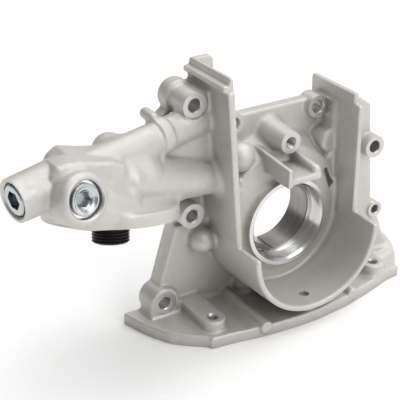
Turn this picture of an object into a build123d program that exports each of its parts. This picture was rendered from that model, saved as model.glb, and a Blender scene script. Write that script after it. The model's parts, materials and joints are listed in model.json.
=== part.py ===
from build123d import *
import math
import os

# Crank-driven engine oil pump with oil filter head.
# Millimetres. +Y points into the engine, +Z up, +X to the right of the belt side.
# Origin: crank axis at the rear mounting face (plane y = 0).

# ---------------------------------------------------------------- driving sizes
LIP_Y = -26.0            # front face of the seal lip, measured from the mounting face
SEAL_R = 21.0            # seal seat bore
SEAL_DEPTH = 9.5
LIP_R = 24.2
CRANK_BORE_R = 20.3      # clearance in the front wall
GEAR_BORE_R = 19.85
FLAT_HALF = 17.7         # half distance over the drive flats
HUB_R = 22.2
RUN_CLEAR = 0.05         # radial running clearance

CHAMBER_FRONT_Y = -14.0
CHAMBER_BACK_Y = -4.0
SIDE_CLEAR = 0.04
ECC = 2.2                # offset between the two rotor axes
ECC_ANGLE = 160.0
N_IN = 10
N_OUT = 11
G_R = 33.0               # radius of the outer rotor's tooth centres
TOOTH_R = 7.6
MESH_GAP = 0.04
OUT_R = 34.0
CHAMBER_R = OUT_R + 0.07
ROOT_R = G_R + ECC - TOOTH_R + ECC + 0.12
FLAT_DIR = 57.0          # direction of the drive flats, from X towards Z

COVER_T = 4.0
RELIEF_CLEAR = 0.03
COVER_CX, COVER_CZ, COVER_R = 1.25, 2.6, 50.0
SCREW_R = 45.0           # radius of the cover screws
SCREW_ANGLES = [46.0, 128.0, 188.0, 246.5, 312.0, 0.0]

WALL_T = 3.0
TROUGH_R = 35.0
TROUGH_Y = -53.0         # front edge of the trough
WALL_Y = -36.5           # front edge of the side walls
PLATE_T = 6.0
FLANGE_Z0, FLANGE_Z1 = -48.0, -42.0

ECX = ECC * math.cos(math.radians(ECC_ANGLE))
ECZ = ECC * math.sin(math.radians(ECC_ANGLE))

# axis of the long upper gallery, from the plugged outer end towards the plate
TUBE_P = Vector(-151.4, -32.0, 55.7)
TUBE_D = Vector(0.982, 0.172, 0.0785).normalized()
TUBE_R = 7.8
# filter axis, pointing up out of the filter seat
SEAT_C = Vector(-98.8, -18.6, 28.13)
SEAT_UP = Vector(0.148, 0.239, 0.96).normalized()
SEAT_R = 32.5
# front plug axis, pointing out of the head
FP_C = Vector(-124.2, -48.0, 55.7)
FP_N = Vector(0.18, -0.96, 0.21).normalized()


def at(t):
    return TUBE_P + TUBE_D * t


def cyl(p0, p1, r0, r1=None):
    p0, p1 = Vector(p0), Vector(p1)
    d = p1 - p0
    pl = Plane(origin=p0, z_dir=d)
    if r1 is None or abs(r1 - r0) < 1e-6:
        return Solid.make_cylinder(r0, d.length, pl)
    return Solid.make_cone(r0, r1, d.length, pl)


def frustum_y(x0, z0, r0, y0, x1, z1, r1, y1):
    w0 = Wire.make_circle(r0, Plane(origin=(x0, y0, z0), z_dir=(0, -1, 0)))
    w1 = Wire.make_circle(r1, Plane(origin=(x1, y1, z1), z_dir=(0, -1, 0)))
    return Solid.make_loft([w0, w1], True)


def cyl_y(x, z, r, y0, y1, r1=None):
    return cyl((x, y0, z), (x, y1, z), r, r1)


def box(x0, x1, y0, y1, z0, z1):
    return Pos((x0 + x1) / 2, (y0 + y1) / 2, (z0 + z1) / 2) * Box(abs(x1 - x0), abs(y1 - y0), abs(z1 - z0))


def prism_xz(pts, y0, y1, r=0.0):
    # outline in X and Z, extruded from y0 to y1
    f = make_face(Polyline(*[(x, y0, z) for x, z in pts], close=True))
    s = extrude(f, amount=abs(y1 - y0), dir=(0, 1, 0))
    if r:
        es = s.edges().filter_by(Axis.Y)
        s = fillet(es, r)
    return s


def prism_xy(pts, z0, z1, r=0.0):
    f = make_face(Polyline(*[(x, y, z0) for x, y in pts], close=True))
    s = extrude(f, amount=abs(z1 - z0), dir=(0, 0, 1))
    if r:
        s = fillet(s.edges().filter_by(Axis.Z), r)
    return s


def ball(p, r):
    return Pos(*Vector(p)) * Sphere(r)


def fuse_all(items):
    s = items[0]
    for i in items[1:]:
        s = s + i
    return s


def write(node, *solids):
    out = []
    for s in solids:
        out += list(s.solids())
    c = Compound(children=out) if len(out) > 1 else out[0]
    c.label = node
    export_step(c, "parts/%s.step" % node)
    print("%-24s solids %d volume %.1f" % (node, len(out), sum(x.volume for x in out)))


# ---------------------------------------------------------------- housing: outside
solid = []

# rear plate, with the slanted lower edges
plate = prism_xz([(-75, -48), (-58.5, 5.5), (-60.5, 22), (-63, 40), (-64, 66), (-46, 80), (-43, 60), (-28, 60), (-28, 57),
                  (36, 57), (50, 56.5), (58.3, 50.5), (59.8, 34), (61.3, 17), (63.4, -6), (71, -16), (86, -46), (86, -48)], -PLATE_T, 0)
solid.append(plate)
# the lower left and the right outer parts of the plate stand further forward
solid.append(prism_xz([(-74, -46), (-57.5, 6), (-40, 6), (-30, -26), (-12, -46)], -9, -1))
solid.append(prism_xz([(34, 57), (50, 56.5), (58.3, 50.5), (59.8, 34), (61.3, 17), (63.4, -6), (66.5, -17), (80, -44), (20, -44), (30, 0)], -17, -1))

# gear case: drum, sloping front and the seal lip
solid.append(frustum_y(COVER_CX, COVER_CZ, 43.5, -4, COVER_CX, COVER_CZ, 35.6, -18.0))
solid.append(cyl_y(0, 0, 39.0, -16.0, -1) & box(-60, 60, -20, 0, -60, 22))
solid.append(frustum_y(COVER_CX, COVER_CZ, 35.6, -18.0, 0, 0, 27.0, -21.5))
solid.append(cyl_y(0, 0, 37.0, -19.5, -12) & box(-60, 60, -30, 0, -60, 14))
solid.append(cyl_y(0, 0, LIP_R, LIP_Y, -16))

# cover screw bosses with domed front ends
screw_xz = [(COVER_CX + SCREW_R * math.cos(math.radians(a)), COVER_CZ + SCREW_R * math.sin(math.radians(a)))
            for a in SCREW_ANGLES]
for x, z in screw_xz:
    low = x < 0 and z < 10
    solid.append(cyl_y(x, z, 6.1, -10.5 if low else -12.5, -1))
    solid.append(ball((x, -10.5 if low else -12.5, z), 6.1))

# trough: lower half ring around the crank pulley
ring = cyl((0, TROUGH_Y, 0), (0, -12, 0), TROUGH_R + WALL_T, TROUGH_R + WALL_T + 1.5) - cyl(
    (0, TROUGH_Y - 1, 0), (0, -11, 0), TROUGH_R, TROUGH_R + 1.5)
ring = ring - box(-60, 60, -60, 0, 0.6, 60)
solid.append(ring)

# left side wall, leaning outwards, with the two ridges and the rear tab at its top
solid.append(prism_xz([(-35.2, -4), (-35.2, 0), (-41.2, 84), (-41.5, 90.5), (-43.6, 90.5), (-44.2, 87.3), (-47.0, 87.0),
                       (-47.2, 84.5), (-44.9, 83), (-38.3, 0), (-38.3, -4)], WALL_Y + 1.0, 0))
solid.append(prism_xz([(-35.2, -4), (-35.2, 0), (-41.2, 84), (-44.9, 83), (-38.3, 0), (-38.3, -4)], WALL_Y, -30))
solid.append(prism_xz([(-43.6, 57), (-43.6, 90.5), (-33.6, 90.5), (-31.4, 88.5), (-31.4, 76), (-27.5, 60), (-27.5, 57)], -2.6, 0))
solid.append(prism_xz([(-42, 57), (-40, 66), (-37, 60), (-33, 57)], -6, 0))
# right side wall with the stepped top and the rear tab
solid.append(prism_xz([(35.2, -4), (34.8, 60), (37.9, 60), (38.2, -4)], -35.0, -2))
solid.append(prism_xz([(34.8, 50), (34.7, 65.5), (37.8, 65.5), (37.9, 50)], -31.0, 5.0))

# mounting bosses (through holes from the front to the mounting face)
BOLTS = {  # name: x, z, front y, boss radius
    "a": (-53.6, 74.7, -21.0, 6.4),
    "b": (28.4, 53.0, -10.0, 6.1),
    "c": (58.0, 28.0, -23.0, 6.2),
    "d": (65.5, -13.5, -18.5, 4.6),
    "f": (-24.0, 54.5, -10.0, 6.0),
    "g": (-53.1, 14.7, -18.0, 6.6),
}
for k, (x, z, y, r) in BOLTS.items():
    solid.append(cyl_y(x, z, r, y, 0))
solid.append(cyl_y(-53.6, 74.7, 8.2, -7.5, 0))
solid.append(prism_xz([(-52, 68), (-43.2, 68), (-44.4, 80), (-52, 80)], -20, -1))
# lower left bolt block with a rounded top
IX, IZ, IY = -66.6, -34.4, -13.0
solid.append(box(IX - 8.4, IX + 8.6, IY, -1, -44, IZ) + cyl_y(IX, IZ, 8.4, IY, -1))

# tensioner boss, tapered, above the gear case
EX, EZ, EY = 0.1, 44.8, -25.5
solid.append(cyl((EX, EY, EZ), (EX, -5, EZ), 5.8, 7.6))

# tray in front of the gear case, below the tensioner boss
TX0, TX1, TRAY_Y = -11.8, 8.6, -41.0
solid.append(box(TX0, TX1, TRAY_Y, -8, 29.4, 32.4))
gus = make_face(Polyline((TX0, TRAY_Y, 30.0), (TX0, TRAY_Y, 38.3), (TX0, -4, 41.3), (TX0, -4, 33.0), (TX0, -18, 33.0), close=True))
solid.append(extrude(gus, amount=2.4, dir=(1, 0, 0)))
solid.append(box(TX0, TX0 + 2.4, TRAY_Y, TRAY_Y + 12, 28.0, 31))
solid.append(box(TX1 - 4.0, TX1, TRAY_Y + 1, -16, 30, 36.4) + cyl((TX1 - 2, TRAY_Y + 1, 36.4), (TX1 - 2, -16, 36.4), 2.3))

# sump flange with its curved front rim
solid.append(prism_xy([(-84, 0), (-81.8, -6), (-79.5, -14), (-76.5, -21), (-72.5, -28.5), (-67, -34), (-61.5, -38.2),
                       (-58, -41), (-57.2, -43.4), (-46.4, -44.6), (-33.8, -46.8), (-23, -48.4), (-8, -49.4),
                       (5, -49.3), (25, -47.2), (43, -43), (61.5, -37.6), (70.2, -36.8), (69.3, -34.6), (78.5, -24),
                       (84.5, -14), (88, -4), (88.6, 0)], FLANGE_Z0, FLANGE_Z1))
# ribs that run forward to the rim
for x, y0 in ((-27.8, -48.6), (29.5, -46.6)):
    solid.append(cyl((x, y0, -42.0), (x, -6, -42.0), 3.1))
# sump bolt pads
SUMP = [(-51.0, -33.8), (0.8, -41.2), (53.5, -33.0)]
solid.append(box(-57.3, -44.7, -33.8, -6, -43, -36) + cyl((-51, -33.8, -43), (-51, -33.8, -36), 6.3))
solid.append(cyl((0.8, -41.2, -43), (0.8, -41.2, -34.6), 6.3))
solid.append(cyl((53.5, -33.0, -43), (53.5, -33.0, -36), 6.5) + box(47, 60, -33, -8, -43, -36))
# suction boss behind the trough, open at the bottom
SUC_X, SUC_Y = 14.0, -13.0
solid.append(box(-2, 31, -23.5, -2, -45, -30))

# ---------------------------------------------------------------- filter arm
solid.append(cyl(at(24), at(112), TUBE_R))
solid.append(cyl(at(0), at(27), 10.2, 11.2))
# filter seat, a round plate with the stud boss standing on it
up = SEAT_UP
seat = cyl(SEAT_C, SEAT_C + up * 6.0, SEAT_R)
seat = seat + cyl(SEAT_C + up * 6.0, SEAT_C + up * 10.0, SEAT_R - 1.5, 22.0)
solid.append(seat)
solid.append(cyl(SEAT_C, SEAT_C + up * 31.0, 15.5, 8.6))
solid.append(ball(SEAT_C + up * 31.0, 8.5))
# head: block at the end of the arm, nose over the front of the seat, plug boss
mass = prism_xz([(-131.2, 47), (-131.2, 61.5), (-128.5, 66.5), (-123.5, 69.0), (-114, 66.5), (-104, 64.5), (-92, 60),
                 (-88, 46), (-100, 38), (-122, 42)], -39, -14)
mass = fillet(mass.edges().filter_by(Axis.Y), 3.0)
solid.append(mass)
NOSE0, NOSE1 = FP_C - FP_N * 12.6, Vector(-103.5, -33.4, 37.1)
solid.append(cyl(NOSE0, NOSE1, 12.0, 13.1))
solid.append(ball(NOSE0, 12.0))
solid.append(ball(NOSE1, 13.1))
solid.append(cyl(FP_C, FP_C - FP_N * 24, 11.8, 13.5))
solid.append(prism_xy([(-120, -44), (-104, -44), (-92, -34), (-88, -20), (-120, -20)], 33, 46))
# lower gallery body, from the plate to the head
solid.append(cyl((-39, -15.8, 32.6), (-97, -26.0, 48.0), 8.6, 13.0))
solid.append(cyl((-76, -22.0, 52.4), (-44, -22.0, 40.2), 1.3))
solid.append(cyl(SEAT_C + up * 2 + Vector(19, -0.6, -2.6), (-82, -21, 44), 7.2))
# web between the two galleries, and the small bosses on it
solid.append(prism_xz([(-42, 66), (-42, 36), (-98, 46), (-98, 60)], -18.5, -7))
solid.append(cyl((-133, -18.2, 56.3), (-50, -10.4, 49.4), 4.6))
solid.append(cyl((-23, -14.4, 20.2), (-44, -15.0, 34.4), 5.4))
solid.append(cyl(at(79), at(85), 9.0))
solid.append(cyl((-76.0, -18, 50.5), (-76.6, -26.3, 54.0), 4.2, 3.8))
solid.append(cyl((-73.4, -9, 71.2), (-73.4, -17, 71.2), 2.8) + ball((-73.4, -9, 71.2), 2.8))

body = fuse_all(solid)
# the sealing face of the filter seat is flat right across
body = body - cyl(SEAT_C - up * 30, SEAT_C, 36.5)

# ---------------------------------------------------------------- housing: inside
cuts = []
cuts.append(cyl_y(0, 0, SEAL_R, LIP_Y - 1, LIP_Y + SEAL_DEPTH))
cuts.append(cyl((0, LIP_Y - 0.01, 0), (0, LIP_Y + 1.0, 0), SEAL_R + 1.0, SEAL_R))
cuts.append(cyl_y(0, 0, CRANK_BORE_R, LIP_Y + 5, 1))
# hub recess of the inner rotor
cuts.append(cyl_y(0, 0, HUB_R + RUN_CLEAR, -15.2, -10))
# rotor chamber and the recess of the rear cover
cuts.append(cyl_y(ECX, ECZ, CHAMBER_R, CHAMBER_FRONT_Y, 0.5))
cover_shape = cyl_y(COVER_CX, COVER_CZ, COVER_R, -COVER_T, 0) & box(-60, 60, -6, 1, -43.2, 60)
recess = cyl_y(COVER_CX, COVER_CZ, COVER_R + 0.25, -COVER_T, 0.5) & box(-60, 60, -6, 1, -43.45, 60)
cuts.append(recess)
# notch and drain holes in the seal seat
cuts.append(cyl((-9, LIP_Y + 8.2, -19.0), (-11, LIP_Y + 8.2, -24.5), 1.6))
cuts.append(cyl((4.0, LIP_Y + 8.0, 20.0), (4.6, LIP_Y + 8.0, 23.6), 1.4))


def kidney(a0, a1, r0, r1, y0, y1):
    n = 14
    pts = []
    for i in range(n + 1):
        a = math.radians(a0 + (a1 - a0) * i / n)
        pts.append((r1 * math.cos(a), r1 * math.sin(a)))
    for i in range(n, -1, -1):
        a = math.radians(a0 + (a1 - a0) * i / n)
        pts.append((r0 * math.cos(a), r0 * math.sin(a)))
    return prism_xz(pts, y0, y1)


# outlet port (top) and inlet port (bottom) in the chamber floor
cuts.append(kidney(2, 140, 24.2, 31.0, -17.0, -13.9))
cuts.append(kidney(180, 320, 24.2, 31.0, -17.0, -13.9))
# inlet: from the bottom face up to the inlet port
cuts.append(cyl((SUC_X, SUC_Y, -49), (SUC_X, SUC_Y, -36.6), 7.0))
cuts.append(box(SUC_X - 6, SUC_X + 6, -18.2, -7.0, -41, -36.6))
cuts.append(box(SUC_X - 6, SUC_X + 6, -17.6, -14.6, -37, -24))
# outlet: from the outlet port through the lower gallery to the filter seat
cuts.append(cyl((-21.0, -15.4, 18.8), (-44, -15.6, 34.4), 2.8))
cuts.append(cyl((-43, -16.2, 33.6), (-84, -21.8, 44.6), 5.2))
# upper gallery, its outlet to the block, and the relief valve bore at its outer end
cuts.append(cyl(at(27), at(101), 4.3))
cuts.append(cyl(at(10), at(28), 5.0 + RELIEF_CLEAR))
cuts.append(cyl(at(3), at(11), 6.0))
cuts.append(cyl(at(-1), at(3.6), 8.0))
cuts.append(cyl(at(-0.1), at(0.9), 8.9, 8.0))
px = at(98)
cuts.append(cyl((px.X, px.Y, px.Z), (px.X, 1, px.Z), 5.0))
# relief return: cross hole behind the piston's face, long drilling, exit in the mounting face
RP = at(24.5)
cuts.append(cyl(RP, (RP.X, -10, RP.Z - 2.6), 2.0))
LONG_P, LONG_D = Vector(-136, -18.4, 56.55), (Vector(-57, -11.0, 50.0) - Vector(-136, -18.4, 56.55)).normalized()
cuts.append(cyl(LONG_P, (-57, -11.0, 50.0), 2.1))
cuts.append(cyl((-57, -11.5, 50.0), (-57, 1, 50.0), 2.3))
cuts.append(cyl(at(14) + Vector(0, 2, 0), (-127.4, -18.2, 56.0), 0.9))
# front plug: counterbore, thread bore and the drilling into the upper gallery
cuts.append(cyl(FP_C + FP_N * 1, FP_C - FP_N * 4.0, 8.7))
cuts.append(cyl(FP_C + FP_N * 0.05, FP_C - FP_N * 0.8, 9.5, 8.7))
cuts.append(cyl(FP_C - FP_N * 3, FP_C - FP_N * 9.0, 5.0))
cuts.append(cyl(FP_C - FP_N * 8.0, at(36), 2.2))
# filter seat: stud bore, dirty side groove with its port, bypass valve bore
cuts.append(cyl(SEAT_C - up * 1, SEAT_C + up * 16, 9.0))
cuts.append(cyl(SEAT_C + up * 15, SEAT_C + up * 27, 6.0))
cuts.append(cyl(SEAT_C + up * 21, at(56), 4.2))
groove = cyl(SEAT_C - up * 1, SEAT_C + up * 3.2, 25.0) - cyl(SEAT_C - up * 1, SEAT_C + up * 3.2, 13.5)
cuts.append(groove)
sx = Plane(origin=SEAT_C, x_dir=Vector(1, 0, 0), z_dir=up).x_dir
sy = up.cross(sx).normalized()


def seat_pt(r, deg, h):
    a = math.radians(deg)
    return SEAT_C + sx * (r * math.cos(a)) + sy * (r * math.sin(a)) + up * h


BY_R, BY_A = 19.2, 203.0        # bypass valve place in the groove
cuts.append(cyl(seat_pt(19.2, 0, 2), (-82, -21, 44.5), 4.4))
cuts.append(cyl(seat_pt(BY_R, BY_A, 2), seat_pt(BY_R, BY_A, 10.5), 5.5))
cuts.append(cyl(seat_pt(BY_R, BY_A, 9.5), seat_pt(4.0, BY_A, 21), 3.0))

# mounting bolt holes
for k, (x, z, y, r) in BOLTS.items():
    cuts.append(cyl_y(x, z, 2.4 if k == "d" else 3.3, y - 1, 1))
cuts.append(cyl_y(IX, IZ, 3.3, IY - 1, 1))
# locating sleeve counterbores at two bolts
SLEEVES = [(-66.6, -34.4), (58.0, 28.0)]
for x, z in SLEEVES:
    cuts.append(cyl_y(x, z, 4.9, -6.0, 1))
# tapped holes: tensioner, sump, cover screws
cuts.append(cyl_y(EX, EZ, 2.5, EY - 1, -9))
for x, y in SUMP:
    cuts.append(cyl((x, y, -49), (x, y, -34.0), 2.5))
for x, z in screw_xz:
    cuts.append(cyl_y(x, z, 2.1, -13.6, -3.5))
# cover locating pins
PINS = [(COVER_CX + SCREW_R * math.cos(math.radians(a)), COVER_CZ + SCREW_R * math.sin(math.radians(a)))
        for a in (25.0, 155.0)]
for x, z in PINS:
    cuts.append(cyl_y(x, z, 2.0, -9.0, -3.5))
# pickup pipe screw holes
for dx in (-12.0, 12.0):
    cuts.append(cyl((SUC_X + dx, SUC_Y, -49), (SUC_X + dx, SUC_Y, -36.6), 2.5))
# slot in the gear case beside the tray
cuts.append(prism_xz([(26.8, 20.5), (29.8, 21.0), (33.8, 11.5), (31.3, 8.5)], -30, -16.4))
# lightening pockets in the back
cuts.append(prism_xz([(-70, -42), (-61, -14), (-52, -14), (-46, -30), (-46, -42)], -6.0, 0.5))
cuts.append(prism_xz([(50, -20), (66, -22), (76, -42), (50, -42)], -13.0, 0.5))
cuts.append(prism_xz([(54.5, 18), (58.5, 18), (58.5, -4), (54.5, -4)], -13.0, 0.5))
cuts.append(prism_xz([(44, 52), (51, 51.5), (54.5, 47), (54.5, 38), (46, 38)], -13.0, 0.5))

for c in cuts:
    body = body - c

# the trough is clear inside, and the tray keeps the crank bore free
body = body - (cyl_y(0, 0, TROUGH_R, TROUGH_Y - 1, -22.0) & box(-60, 60, -60, -20, -60, -24.4))
body = body - cyl_y(0, 0, SEAL_R - 0.01, -70, LIP_Y + 1)
parts_ = sorted(body.solids(), key=lambda s: -s.volume)
print("housing solids", [round(s.volume, 1) for s in parts_][:6])
housing = parts_[0]

# ---------------------------------------------------------------- rotors
def inner_profile(n_pts, gap):
    # inside parallel curve of the trochoid that the outer tooth centres trace
    pts = []
    for i in range(n_pts):
        t = 2 * math.pi * i / n_pts
        x = G_R * math.cos(t) - ECC * math.cos(N_OUT * t)
        y = G_R * math.sin(t) - ECC * math.sin(N_OUT * t)
        dx = -G_R * math.sin(t) + ECC * N_OUT * math.sin(N_OUT * t)
        dy = G_R * math.cos(t) - ECC * N_OUT * math.cos(N_OUT * t)
        L = math.hypot(dx, dy)
        pts.append((x - (TOOTH_R + gap) * dy / L, y + (TOOTH_R + gap) * dx / L))
    return pts


def spun(pts, ang, cx=0.0, cz=0.0):
    c, w = math.cos(math.radians(ang)), math.sin(math.radians(ang))
    return [(cx + x * c - z * w, cz + x * w + z * c) for x, z in pts]


def spline_prism(pts, y0, y1):
    e = Spline(*[(x, y0, z) for x, z in pts], periodic=True)
    return extrude(make_face(e), amount=abs(y1 - y0), dir=(0, 1, 0))


# inner rotor: ten lobes on a hub that reaches through the cover, bore with two drive flats
THETA0 = ECC_ANGLE + 180.0
inner = spline_prism(spun(inner_profile(400, MESH_GAP), THETA0), CHAMBER_FRONT_Y + SIDE_CLEAR, CHAMBER_BACK_Y - SIDE_CLEAR)
inner = inner + cyl_y(0, 0, HUB_R, -15.15, -0.3)
bore = cyl_y(0, 0, GEAR_BORE_R, -16, 1) & (Rot(0, -FLAT_DIR, 0) * box(-FLAT_HALF, FLAT_HALF, -17, 2, -30, 30))
inner = inner - bore
# relief grooves in the corners of the flats
for sgn in (-1, 1):
    for sg2 in (-1, 1):
        zc = math.sqrt(GEAR_BORE_R ** 2 - FLAT_HALF ** 2)
        v = Vector(sgn * FLAT_HALF, 0, sg2 * zc).rotate(Axis.Y, -FLAT_DIR)
        inner = inner - cyl_y(v.X, v.Z, 0.7, -16, 1)
inner = max(inner.solids(), key=lambda k: k.volume)

# outer rotor: eleven round teeth inside a plain ring
outer = cyl_y(ECX, ECZ, OUT_R, CHAMBER_FRONT_Y + SIDE_CLEAR, CHAMBER_BACK_Y - SIDE_CLEAR) - cyl_y(
    ECX, ECZ, ROOT_R, -15, -3)
for k in range(N_OUT):
    a = math.radians(THETA0 + 360.0 * k / N_OUT)
    tooth = cyl_y(ECX + G_R * math.cos(a), ECZ + G_R * math.sin(a), TOOTH_R, CHAMBER_FRONT_Y + SIDE_CLEAR,
                  CHAMBER_BACK_Y - SIDE_CLEAR) & cyl_y(ECX, ECZ, OUT_R - 0.5, -15, -3)
    outer = outer + tooth
outer = max(outer.solids(), key=lambda k: k.volume)

# ---------------------------------------------------------------- rear cover, screws and pins
cover = cover_shape - cyl_y(0, 0, HUB_R + 0.08, -5, 1)
screws = []
for x, z in screw_xz:
    cover = cover - cyl_y(x, z, 2.25, -5, 1) - cyl_y(x, z, 2.2, -2.1, 0.3, 4.6)
    sc = cyl_y(x, z, 2.1, -13.2, -1.9) + cyl_y(x, z, 2.1, -2.15, -0.25, 4.0)
    soc = Plane(origin=(x, 0.2, z), z_dir=(0, -1, 0)) * extrude(RegularPolygon(1.75, 6), amount=1.9)
    sc = sc - soc
    screws.append(max(sc.solids(), key=lambda k: k.volume))
pins = []
for x, z in PINS:
    cover = cover - cyl_y(x, z, 2.0, -5, 1)
    pins.append(cyl_y(x, z, 2.0, -8.6, -0.3))
cover = max(cover.solids(), key=lambda k: k.volume)


# ---------------------------------------------------------------- relief valve at the outer end of the gallery
def hex_socket(p, n, af, depth):
    # socket cut, entering at p against the direction n
    pl = Plane(origin=p + n * 0.5, z_dir=n * -1)
    return pl * extrude(RegularPolygon(af / math.sqrt(3), 6), amount=depth + 0.5)


def coil(p0, d, length, r_mean, wire, turns, ground=0.0):
    # closed-ended helical spring; the ends are cut flat
    h = Helix(pitch=(length - wire) / turns, height=length - wire, radius=r_mean)
    prof = Plane(origin=h @ 0, z_dir=h % 0) * Circle(wire / 2)
    w = sweep(prof, path=h, is_frenet=True)
    pl = Plane(origin=p0 + d * (wire / 2), z_dir=d)
    return pl * w


piston = cyl(at(16.5), at(27.6), 5.0) - cyl(at(16), at(25.2), 3.7)
piston = piston - cyl(at(27.0), at(27.7), 5.2) + cyl(at(26.9), at(27.6), 5.0, 4.4)
piston = max(piston.solids(), key=lambda k: k.volume)
guide = cyl(at(10.0), at(11.4), 4.6) + cyl(at(11.3), at(17.0), 2.1) + cyl(at(17.0), at(17.6), 2.1, 1.5)
relief_spring = coil(at(11.45), TUBE_D, 13.7, 2.95, 1.1, 6)
end_plug = cyl(at(0.2), at(2.4), 7.25) + cyl(at(2.3), at(10.0), 6.0)
end_plug = end_plug - cyl(at(0.1), at(0.7), 7.7) + cyl(at(0.2), at(0.75), 6.7, 7.25)
end_plug = end_plug - hex_socket(at(0.2), TUBE_D * -1, 8.0, 4.8)
end_washer = cyl(at(2.4), at(3.6), 7.9) - cyl(at(2.3), at(3.7), 6.05)

fn = FP_N * -1
fp = cyl(FP_C + fn * 0.7, FP_C + fn * 2.8, 7.2) + cyl(FP_C + fn * 2.7, FP_C + fn * 8.6, 5.0)
fp = fp - cyl(FP_C + fn * 0.6, FP_C + fn * 1.2, 7.6) + cyl(FP_C + fn * 0.7, FP_C + fn * 1.25, 6.6, 7.2)
fp = fp - hex_socket(FP_C + fn * 0.7, FP_N, 6.0, 4.2)
fp_washer = cyl(FP_C + fn * 2.8, FP_C + fn * 4.0, 8.4) - cyl(FP_C + fn * 2.7, FP_C + fn * 4.1, 5.05)

# ---------------------------------------------------------------- filter stud with thread rings, bypass valve
prof = [(5.2, -12.6), (8.0, -12.6)]
h = -11.8
while h < -0.6:
    prof += [(9.0, h), (9.0, h + 0.25), (8.15, h + 0.75), (8.15, h + 0.95)]
    h += 1.5
prof += [(9.0, 0.3), (9.0, 15.4), (8.2, 15.8), (5.2, 15.8)]
pl = Plane(origin=SEAT_C, x_dir=sx, z_dir=up)
st = revolve(make_face(Polyline(*[(r, 0, z) for r, z in prof], close=True)), axis=Axis.Z)
stud = pl * st
stud = stud - hex_socket(SEAT_C + up * 15.8, up, 10.9, 6.0)

BY0 = seat_pt(BY_R, BY_A, 0)
by_body = cyl(BY0 + up * 3.3, BY0 + up * 10.4, 5.5) - cyl(BY0 + up * 4.3, BY0 + up * 10.5, 4.5) - cyl(BY0 + up * 3, BY0 + up * 5, 2.9)
by_disc = cyl(BY0 + up * 4.3, BY0 + up * 5.1, 4.1) + cyl(BY0 + up * 5.0, BY0 + up * 6.4, 1.5)
by_ret = cyl(BY0 + up * 9.4, BY0 + up * 10.4, 4.5) - cyl(BY0 + up * 9.3, BY0 + up * 10.5, 2.2)
by_spring = coil(BY0 + up * 5.12, up, 4.26, 2.9, 0.7, 3)

# ---------------------------------------------------------------- locating sleeves and ball plugs
# each has a 9.8 mm pressed end and an 8.4 mm standing end, with the step at the mounting face
sleeves = [cyl_y(x, z, 4.9, -6.0, 0.0) + cyl_y(x, z, 4.2, -0.5, 4.0) - cyl_y(x, z, 3.6, -7, 5) for x, z in SLEEVES]
balls = [ball((RP.X, -15.6, RP.Z - 1.76), 1.98), ball(LONG_P + LONG_D * 6.2, 2.08)]

os.makedirs("parts", exist_ok=True)
write("pump_housing", housing)
write("rear_cover", cover)
write("cover_screws", *screws)
write("cover_dowel_pins", *pins)
write("inner_rotor", inner)
write("outer_rotor", outer)
write("relief_piston", piston)
write("relief_spring", relief_spring)
write("relief_spring_guide", guide)
write("relief_end_plug", end_plug)
write("relief_plug_washer", end_washer)
write("front_plug", fp)
write("front_plug_washer", fp_washer)
write("filter_stud", stud)
write("bypass_valve_cage", by_body)
write("bypass_valve_disc", by_disc)
write("bypass_valve_spring", by_spring)
write("bypass_spring_plate", by_ret)
write("locating_sleeves", *sleeves)
write("gallery_ball_plugs", *balls)
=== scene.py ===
import json
import math
import bmesh
import bpy
import numpy as np
from mathutils import Matrix, Vector

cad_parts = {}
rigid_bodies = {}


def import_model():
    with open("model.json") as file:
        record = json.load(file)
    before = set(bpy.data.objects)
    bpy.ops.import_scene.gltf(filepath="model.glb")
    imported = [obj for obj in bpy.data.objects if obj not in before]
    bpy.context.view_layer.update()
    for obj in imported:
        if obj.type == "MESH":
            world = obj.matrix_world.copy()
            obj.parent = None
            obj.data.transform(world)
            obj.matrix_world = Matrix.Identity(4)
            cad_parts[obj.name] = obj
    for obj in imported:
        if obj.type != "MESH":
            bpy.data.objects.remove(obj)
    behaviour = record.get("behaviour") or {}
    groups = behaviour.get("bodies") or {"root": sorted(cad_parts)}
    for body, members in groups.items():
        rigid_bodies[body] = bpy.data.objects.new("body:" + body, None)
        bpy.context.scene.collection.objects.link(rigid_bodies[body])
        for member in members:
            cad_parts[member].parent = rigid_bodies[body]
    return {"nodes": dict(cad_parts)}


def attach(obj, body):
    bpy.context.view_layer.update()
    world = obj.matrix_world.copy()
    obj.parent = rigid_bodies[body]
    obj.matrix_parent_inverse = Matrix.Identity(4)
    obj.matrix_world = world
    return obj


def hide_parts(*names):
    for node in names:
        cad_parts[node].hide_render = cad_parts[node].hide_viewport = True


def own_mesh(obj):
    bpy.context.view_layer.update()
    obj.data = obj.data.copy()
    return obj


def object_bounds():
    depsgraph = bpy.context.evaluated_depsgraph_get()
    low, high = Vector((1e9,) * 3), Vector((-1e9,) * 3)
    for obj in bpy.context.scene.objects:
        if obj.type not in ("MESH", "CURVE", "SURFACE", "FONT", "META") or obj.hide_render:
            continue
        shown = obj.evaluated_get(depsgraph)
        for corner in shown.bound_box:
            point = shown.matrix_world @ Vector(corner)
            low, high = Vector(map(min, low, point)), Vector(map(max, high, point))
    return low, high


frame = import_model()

cad_lo, cad_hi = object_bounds()
nodes = frame["nodes"]

# ------------------------------------------------------------------ camera
cam_data = bpy.data.cameras.new("camera")
cam_data.sensor_width = 36.0
cam_data.lens = 99.03
cam_data.clip_start, cam_data.clip_end = 0.02, 20.0
cam = bpy.data.objects.new("camera", cam_data)
bpy.context.scene.collection.objects.link(cam)
cF = Vector((0.470, 0.757, -0.4535)).normalized()
cR = Vector((0.850, -0.527, 0.0)).normalized()
cU = cR.cross(cF).normalized()
cam.matrix_world = Matrix(((cR.x, cU.x, -cF.x, -0.30403), (cR.y, cU.y, -cF.y, -0.42927),
                           (cR.z, cU.z, -cF.z, 0.26906), (0, 0, 0, 1)))
bpy.context.scene.camera = cam

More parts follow.
